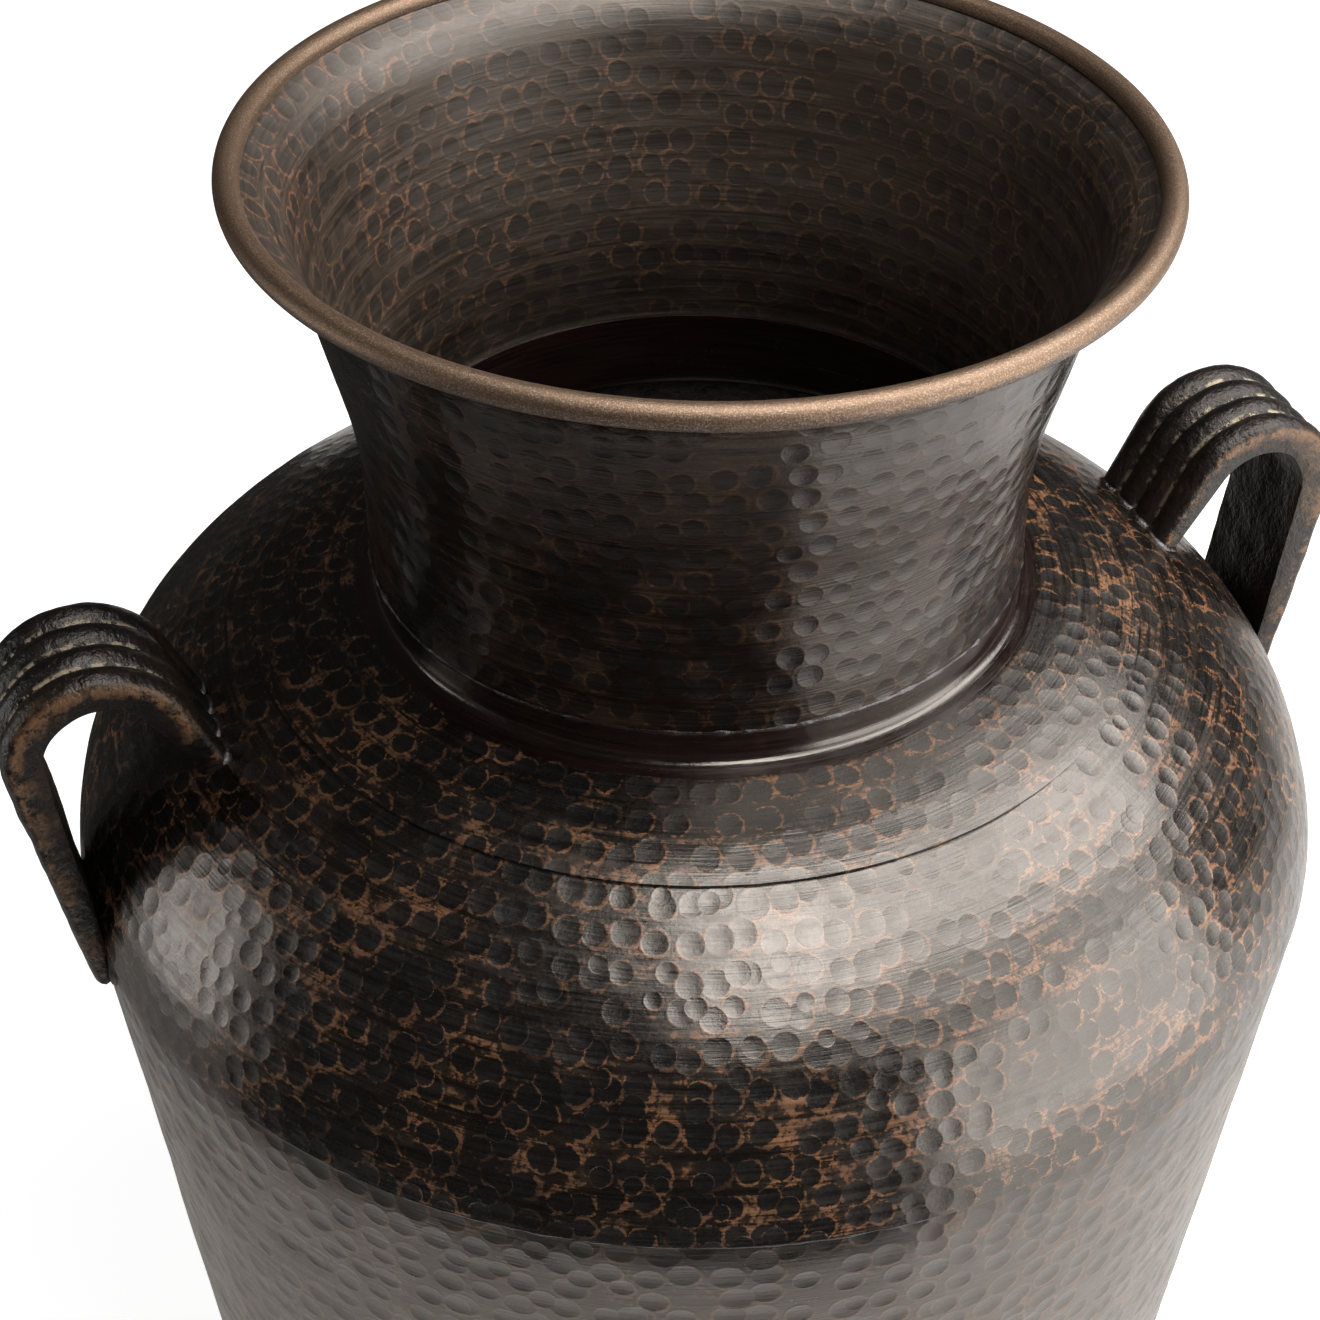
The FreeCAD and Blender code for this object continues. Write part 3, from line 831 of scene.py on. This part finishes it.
def strap_stations(forms):
    """The inner and the outer line of the strap, and the way from one to the other."""
    handles, body = forms.handles, forms.body
    centre = (body.girth_radius - handles.arch_inset, body.girth_height + handles.arch_rise)
    radius = forms.cap_edge + handles.upper_share * (body.girth_radius - forms.cap_edge)
    foot_normal = forms.crown_normal(radius, forms.upper[1])
    foot = (radius, forms.crown[1] + (body.crown_radius + forms.upper[1]) * math.cos(foot_normal))
    low = body.girth_height - handles.lower_drop
    lean = tangent_turn(foot, centre, handles.arch_radius, -1)
    outer_foot = (foot[0] - handles.upper_thickness * math.cos(lean),
                  foot[1] + handles.upper_thickness * math.sin(lean))
    faces = []
    for reach, top, end in (
            (handles.arch_radius, foot, (body.girth_radius - handles.lower_sink, low)),
            (handles.arch_radius + handles.crown_thickness, outer_foot,
             (body.girth_radius + handles.lower_thickness, low))):
        rise = tangent_turn(top, centre, reach, -1)
        fall = tangent_turn(end, centre, reach, 1)
        arc = ring_section(centre, reach, rise - math.pi / 2, fall + math.pi / 2, ARCH)
        top = np.array(top) - 0.003 * np.array([math.sin(rise), math.cos(rise)])
        share_of = np.linspace(0, 1, LEG)[:, None]
        faces.append(np.concatenate([top + (arc[0] - top) * share_of[:-1], arc,
                                     arc[-1] + (np.array(end) - arc[-1]) * share_of[1:]]))
    inner, outer = faces
    outward = outer - inner
    return inner, outer, outward / np.linalg.norm(outward, axis=1)[:, None]


def strap_section(handles):
    """Across the ribbed face: the place of each line along the strap, and its drop below the crests."""
    half = handles.width / 2
    pitch = handles.width / handles.ribs
    bend = (pitch ** 2 / 4 + handles.rib_rise ** 2) / (2 * handles.rib_rise)
    across = np.linspace(-half, half, RAILS)
    from_crest = (across + half) % pitch - pitch / 2
    from_crest[-1] = -pitch / 2
    drop = bend - np.sqrt(bend ** 2 - from_crest ** 2)
    return across, drop


def body_distance(forms, points, offset):
    """Height of points above the body's outside near the shoulder and the girth."""
    body, heights = forms.body, []
    reach = np.hypot(points[..., 0], points[..., 1])
    for centre, radius in ((forms.shoulder, body.shoulder_radius), (forms.crown, body.crown_radius)):
        heights.append(np.hypot(reach - centre[0], points[..., 2] - centre[1]) - radius)
    turn_of = np.arctan2(reach - forms.shoulder[0], points[..., 2] - forms.shoulder[1])
    return np.where(turn_of > body.crown_turn, *heights) - offset


def strap_mesh(forms):
    """The strap's lines, first over its ribs and then back along its flat face."""
    handles = forms.handles
    inner, outer, outward = strap_stations(forms)
    across, drop = strap_section(handles)
    edge = np.clip((handles.width / 2 - np.abs(across)) / handles.corner, 0, 1)
    tuck = handles.corner * 0.7 * (1 - np.sqrt(np.clip(1 - (1 - edge) ** 2, 0, 1)))
    lines = [(y, outer - outward * fall) for y, fall in zip(across, drop + tuck)]
    lines += [(y, inner) for y in np.linspace(handles.width / 2, -handles.width / 2, BACK_RAILS)[1:-1]]
    return np.stack([np.stack([line[:, 0], np.full(len(line), y), line[:, 1]], -1)
                     for y, line in lines], 1)


def roughen(forms, points, seed):
    """The unevenness of a rough casting, with a crease where each leg runs into the arch."""
    noise.seed_set(CASTING_SEED)
    _, outer, outward = strap_stations(forms)
    run = run_length(outer)
    handles = forms.handles
    rib_of = (strap_section(handles)[0] + handles.width / 2) / (handles.width / handles.ribs)
    rough = points.copy()
    for station in range(len(points)):
        way = Vector((outward[station][0], 0, outward[station][1]))
        for rail in range(points.shape[1]):
            spot = Vector(points[station, rail])
            swell = noise.noise(spot * 95 + Vector((seed, 0, 0))) * 0.00042
            swell += noise.noise(spot * 320 + Vector((0, seed, 0))) * 0.00016
            shift = noise.noise_vector(spot * 120 + Vector((0, 0, seed))) * 0.00028
            if rail < RAILS:
                rib = int(min(rib_of[rail], handles.ribs - 0.01))
                for joint in run[list(CREASES)]:
                    gap = (run[station] - joint - (rib % 2) * 0.0022 - shift.x * 6) / 0.0006
                    deep = max(0.0, noise.noise(Vector((rib * 3.1, joint * 90, seed))) + 0.25)
                    swell -= 0.0006 * deep * math.exp(-gap * gap)
            rough[station, rail] = spot + way * swell + shift * 0.6
    return rough


def strap_fields(forms, points):
    """Where the strap is worn, near its edges and over its crown, and where a highlight is painted in its
    grooves.
    """
    across, drop = strap_section(forms.handles)
    edge, groove = np.zeros((2, points.shape[1]))
    edge[:RAILS] = np.clip(1 - (forms.handles.width / 2 - np.abs(across)) / 0.0022, 0, 1)
    groove[:RAILS] = np.clip(drop / forms.handles.rib_rise * 2.6 - 1.6, 0, 1) * (edge[:RAILS] < 0.4)
    crown = np.clip(1 - np.abs(np.arange(len(points)) - CROWN) / CROWN_REACH, 0, 1)[:, None]
    return {"edge": edge + 0 * crown, "groove": groove + 0 * crown, "crown": crown + 0 * edge}


def settle_feet(forms, points):
    """Ends the strap on the body: the upper foot is cut off there, and the lower is let in."""
    start, end = points[LEG - 1].copy(), points[0].copy()
    low, high = np.zeros(len(start)), np.ones(len(start))
    for _ in range(30):
        middle = (low + high) / 2
        trial = start + (end - start) * middle[:, None]
        above = body_distance(forms, trial, forms.upper[1]) > SINK
        low = np.where(above, middle, low)
        high = np.where(above, high, middle)
    share_of = np.linspace(1, 0, LEG)[:, None, None] * low[None, :, None]
    points[:LEG] = start + (end - start) * share_of
    lower = points[LEG:]
    for _ in range(3):
        short = np.clip(SINK - body_distance(forms, lower, 0.0), 0, None)
        reach = np.hypot(lower[..., 0], lower[..., 1])
        for axis in (0, 1):
            lower[..., axis] += short * lower[..., axis] / reach
    return points


class URN_OT_handles(bpy.types.Operator):
    """Cast the two strap handles, with four ribs each"""
    bl_idname = "urn.handles"
    bl_label = "Handles"

    def execute(self, context):
        forms = Forms(context.scene)
        metal = handle_finish("Cast handle")
        for name, side in HANDLES:
            points = settle_feet(forms, roughen(forms, strap_mesh(forms), side * 3.0))
            points[..., :2] *= side
            piece = grid_mesh(f"{name}_strap", points, False, math.radians(60), **strap_fields(forms, points))
            place(piece, "cast_handle", metal, name)
        return {"FINISHED"}


def bead_tube(name, path, up, radius, lumps, closed, seed, around=12):
    """A lumpy bead of weld metal along a path."""
    ahead = np.roll(path, -1, 0) - np.roll(path, 1, 0) if closed else np.gradient(path, axis=0)
    ahead = ahead / np.linalg.norm(ahead, axis=1)[:, None]
    side = np.cross(ahead, up)
    side = side / np.linalg.norm(side, axis=1)[:, None]
    rise = np.cross(side, ahead)
    sizes = np.array([radius * (1 + lumps * noise.noise(Vector(point) * 260 + Vector((seed, 0, 0))))
                      for point in path])
    if not closed:
        rings = np.arange(len(path))
        sizes = sizes * np.sqrt(np.clip((np.minimum(rings, rings[::-1]) + 0.35) / 5, 0, 1))
    turns = np.linspace(0, 2 * math.pi, around, endpoint=False)
    ring = (np.cos(turns)[None, :, None] * side[:, None] + np.sin(turns)[None, :, None] * rise[:, None])
    return grid_mesh(name, path[:, None] + ring * sizes[:, None, None], closed)


def even_path(points, closed):
    """Points along a line at even steps."""
    points = np.array(points)
    if closed:
        points = np.concatenate([points, points[:1]])
    run = run_length(points)
    count = max(8, round(run[-1] / BEAD_STEP))
    where = np.linspace(0, run[-1], count, endpoint=not closed)
    return np.stack([np.interp(where, run, points[:, k]) for k in range(3)], -1)


class URN_OT_joints(bpy.types.Operator):
    """Run the weld beads round the handles' feet, the girth weld and the braze at the neck's foot"""
    bl_idname = "urn.joints"
    bl_label = "Welds and braze"

    def execute(self, context):
        forms = Forms(context.scene)
        finish = context.scene.urn_finish
        body = forms.body
        dull = cast_finish("Patinated joint", finish.umber, finish.maroon, size=900.0, rough=0.3, wear=0.6)
        metal = cast_finish("Weld metal", finish.weld, (0.020, 0.016, 0.013), size=600.0)
        top = even_path(settle_feet(forms, strap_mesh(forms))[0], True)
        half = forms.handles.width / 2
        low = body.girth_height - forms.handles.lower_drop
        sides = []
        for height in np.linspace(low + 0.018, low, 12):
            drop = height - forms.shoulder[1]
            reach = forms.shoulder[0] + math.sqrt(body.shoulder_radius ** 2 - drop ** 2)
            sides.append((math.sqrt(reach ** 2 - half ** 2), half, height))
        reach = sides[-1][0]
        across = [(math.sqrt(max(reach ** 2 + half ** 2 - y ** 2, 0)), y, low)
                  for y in np.linspace(half, -half, 24)]
        bottom = even_path(sides[:-1] + across + [(x, -y, z) for x, y, z in sides[-2::-1]], False)
        for name, side in HANDLES:
            flip = np.array([side, side, 1])
            up = np.array([side * 0.6, 0.01, 0.8])
            seed = 10.0 + side
            bead = bead_tube(f"{name}_upper_bead", top * flip, up, 0.0013, 0.45, True, seed)
            place(bead, "joint_metal", dull, f"{name}_upper_weld")
            out = np.array([side * 0.98, 0.02, 0.2])
            bead = bead_tube(f"{name}_lower_bead", bottom * flip, out, 0.0014, 0.35, False, seed + 5)
            place(bead, "joint_metal", metal, f"{name}_lower_weld")
        turns = np.linspace(0, 2 * math.pi, 900, endpoint=False)
        below = forms.seam + 0.008
        seam = ring_section(forms.shoulder, body.shoulder_radius + 0.0002, below, below, 1)[0]
        braze = (body.collar_radius + 0.0004, forms.root + forms.neck_sizes.foot_rise - 0.0006)
        for name, (reach, height), size, node in (("girth_bead", seam, 0.0007, "girth_weld"),
                                                  ("neck_bead", braze, 0.0011, "neck_braze")):
            path = np.stack([reach * np.cos(turns), reach * np.sin(turns), turns * 0 + height], -1)
            path = forms.lean(path) if node == "neck_braze" else path
            bead = bead_tube(name, path, np.array([0.0, 0.0, 1.0]), size, 0.45, True, 3.0, 10)
            place(bead, "joint_metal", dull, node)
        return {"FINISHED"}


class URN_OT_base(bpy.types.Operator):
    """Finish the domed base plate and its ring of solder"""
    bl_idname = "urn.base"
    bl_label = "Base"

    def execute(self, context):
        finish = context.scene.urn_finish
        plate = cast_finish("Base plate", finish.copper, finish.patina, size=300.0, wear=0.35)
        solder = cast_finish("Solder", (0.32, 0.31, 0.30), (0.10, 0.10, 0.10), size=800.0, wear=0.8)
        for node, metal in (("base_disc", plate), ("base_solder", solder)):
            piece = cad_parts[node]
            piece.data.materials.clear()
            piece.data.materials.append(metal)
        return {"FINISHED"}


def way_out(turn_of, rise=0.0):
    """The way out from the axis at a turn from +X and a rise above the floor, in degrees."""
    turn_of, rise = math.radians(turn_of), math.radians(rise)
    return Vector((math.cos(turn_of) * math.cos(rise), math.sin(turn_of) * math.cos(rise), math.sin(rise)))


def lamp(name, size, place_at, facing, radiance):
    """A soft panel: its size, where it stands, the way it faces and its brightness as seen."""
    data = bpy.data.lights.new(name, "AREA")
    data.shape = "RECTANGLE"
    data.size, data.size_y = size
    data.energy = radiance * math.pi * size[0] * size[1]
    panel = bpy.data.objects.new(name, data)
    panel.location = place_at
    panel.rotation_euler = facing
    panel.visible_camera = False
    bpy.context.scene.collection.objects.link(panel)
    return panel


def side_lamp(name, size, turn_of, height, radiance):
    """A panel beside the vessel, which faces its axis."""
    out = way_out(turn_of) * 0.92
    facing = (-out).to_track_quat("-Z", "Y").to_euler()
    return lamp(name, size, out + Vector((0, 0, height)), facing, radiance)


def flat_mesh(name, corners, faces, *materials):
    """A flat piece of the stage."""
    mesh = bpy.data.meshes.new(name)
    mesh.from_pydata(corners, [], faces)
    for material in materials:
        mesh.materials.append(material)
    piece = bpy.data.objects.new(name, mesh)
    bpy.context.scene.collection.objects.link(piece)
    return piece


class URN_OT_stage(bpy.types.Operator):
    """Set the pale floor, the soft lamps, the world and the camera"""
    bl_idname = "urn.stage"
    bl_label = "Stage"

    def execute(self, context):
        scene = context.scene
        half = scene.urn_studio.floor_size / 2
        corners = [(-half, -half, 0), (half, -half, 0), (half, half, 0), (-half, half, 0)]
        flat_mesh("studio_floor", corners, [(0, 1, 2, 3)], self.floor_finish())
        self.windows()
        strip = lamp("overhead", (0.38, 1.15), (0.02, -0.36, 1.32), (0, 0, math.radians(-8)), 6.2)
        strip.visible_diffuse = False
        side_lamp("low_panel", (0.90, 0.70), -48, 0.36, 3.6)
        side_lamp("left_panel", (0.26, 0.9), 164, 0.2, 2.6)
        self.flags()
        self.world(scene)
        self.camera(scene, scene.urn_studio)
        scene.view_settings.view_transform = "Standard"
        return {"FINISHED"}

    def windows(self):
        """A divided window of soft light on the right, with a dim surround."""
        aim, out, distance = Vector((0.054, -0.128, 0.300)), way_out(-16.4, 31.5), 0.9
        across = Vector((0, 0, 1)).cross(out).normalized()
        up = out.cross(across)
        roll = math.radians(41.0)
        side = across * math.cos(roll) + up * math.sin(roll)
        facing = Matrix((side, out.cross(side), out)).transposed().to_euler()
        for name, right, above, wide, tall, radiance in (
                ("window_left", -0.02, 0.52, 0.48, 1.36, 4.1),
                ("window_right", 0.39, 0.60, 0.30, 1.00, 4.1),
                ("window_glow", -0.22, 0.66, 1.35, 1.70, 1.9)):
            middle = aim + (out + across * right + up * above) * distance
            lamp(name, (wide * distance, tall * distance), middle, facing, radiance)

    def floor_finish(self):
        material = bpy.data.materials.new("Pale floor")
        bench = empty_bench(material)
        surface = bench.node("ShaderNodeBsdfDiffuse")
        bench.feed(surface.inputs["Color"], (0.80, 0.80, 0.80))
        path = bench.node("ShaderNodeLightPath")
        seen, glossy, clear = (Field(bench, path.outputs[f"Is {kind} Ray"])
                               for kind in ("Camera", "Glossy", "Transmission"))
        shown = glossy.most(clear)
        reach = bench.node("ShaderNodeVectorMath", operation="LENGTH")
        bench.feed(reach.inputs[0], bench.place_of())
        # painted shade: the floor's glow for the camera is weaker near the urn, 0.86 within 0.35 m rising to
        # 0.97 beyond 1.3 m, so the floor reads darker round its base
        glow_dimmed_near_urn = Field(bench, reach.outputs["Value"]).rise(0.35, 1.3, 0.86, 0.97)
        glow = bench.node("ShaderNodeEmission")
        bench.feed(glow.inputs["Color"], bench.blend(shown, (1.0, 1.0, 1.0), (1.0, 0.93, 0.85)))
        bench.feed(glow.inputs["Strength"], seen * glow_dimmed_near_urn + shown * 0.42)
        both = bench.node("ShaderNodeAddShader")
        bench.feed(both.inputs[0], surface.outputs[0])
        bench.feed(both.inputs[1], glow.outputs[0])
        bench.feed(bench.node("ShaderNodeOutputMaterial").inputs["Surface"], both.outputs[0])
        return material

    def cloth(self, name, tone):
        material = bpy.data.materials.new(name)
        bench = empty_bench(material)
        glow = bench.node("ShaderNodeEmission")
        bench.feed(glow.inputs["Color"], (1.0, 0.96, 0.92))
        bench.feed(glow.inputs["Strength"], tone)
        bench.feed(bench.node("ShaderNodeOutputMaterial").inputs["Surface"], glow.outputs[0])
        return material

    def flags(self):
        """Dark and pale cloth round the studio and on the floor, which only the reflections show."""
        turns = np.linspace(0, 2 * math.pi, 48, endpoint=False)
        rings = [(3.4 * math.cos(rise), 3.4 * math.sin(rise) + 0.02) for rise in np.linspace(0, 1.45, 10)]
        dome = np.array([[(r * math.cos(t), r * math.sin(t), z) for t in turns] for r, z in rings])
        hung = grid_mesh("studio_cloth", dome, False, capped=False)
        hung.data.materials.append(self.cloth("Studio cloth", 0.028))
        turns = np.linspace(-270, -78, 40)
        corners = [(*way_out(t).xy * r, 0.002) for r in (0.31, 0.40, 3.3) for t in turns]
        strips = [(k, k + 40, k + 41, k + 1) for k in range(79) if k != 39]
        laid = flat_mesh("floor_cloth", corners, strips, self.cloth("Floor cloth", 0.030),
                         self.cloth("Pale cloth", 0.30))
        for k, strip in enumerate(laid.data.polygons):
            strip.material_index = int(k < 39 or -220 < turns[k - 39] < -182)
        for piece in (hung, laid):
            for ray in ("camera", "diffuse", "transmission", "shadow", "volume_scatter"):
                setattr(piece, f"visible_{ray}", False)

    def world(self, scene):
        scene.world = bpy.data.worlds.new("Pale studio")
        bench = empty_bench(scene.world)
        path = bench.node("ShaderNodeLightPath")
        seen, glossy, clear = (Field(bench, path.outputs[f"Is {kind} Ray"])
                               for kind in ("Camera", "Glossy", "Transmission"))
        sky = bench.node("ShaderNodeBackground")
        bench.feed(sky.inputs["Color"], (1.0, 1.0, 1.0))
        bench.feed(sky.inputs["Strength"], seen.most(glossy).most(clear) * 0.90 + 0.10)
        bench.feed(bench.node("ShaderNodeOutputWorld").inputs["Surface"], sky.outputs[0])

    def camera(self, scene, studio):
        data = bpy.data.cameras.new("urn_camera")
        data.sensor_fit = "HORIZONTAL"
        data.sensor_width = 36.0
        data.lens = studio.lens
        data.clip_end = 50.0
        eye = bpy.data.objects.new("urn_camera", data)
        eye.location = studio.eye
        eye.rotation_euler = Euler(studio.aim, "XYZ")
        scene.collection.objects.link(eye)
        scene.camera = eye


class URN_PT_pieces(bpy.types.Panel):
    """Lists the urn's pieces in the order they are made"""
    bl_idname = "URN_PT_pieces"
    bl_label = "Hammered urn"
    bl_space_type = "VIEW_3D"
    bl_region_type = "UI"
    bl_category = "Urn"

    def draw(self, context):
        for operator in OPERATORS:
            self.layout.operator(operator.bl_idname)


OPERATORS = (URN_OT_lower_body, URN_OT_upper_body, URN_OT_shoulder_cap, URN_OT_neck, URN_OT_rim,
             URN_OT_handles, URN_OT_joints, URN_OT_base, URN_OT_stage)
CLASSES = (*SETTINGS.values(), *OPERATORS, URN_PT_pieces)


def register():
    for cls in CLASSES:
        bpy.utils.register_class(cls)
    for name, cls in SETTINGS.items():
        setattr(bpy.types.Scene, name, PointerProperty(type=cls))


def unregister():
    for name in SETTINGS:
        delattr(bpy.types.Scene, name)
    for cls in reversed(CLASSES):
        bpy.utils.unregister_class(cls)


def main():
    register()
    for operator in OPERATORS:
        group, action = operator.bl_idname.split(".")
        getattr(getattr(bpy.ops, group), action)()


if __name__ == "__main__":
    main()
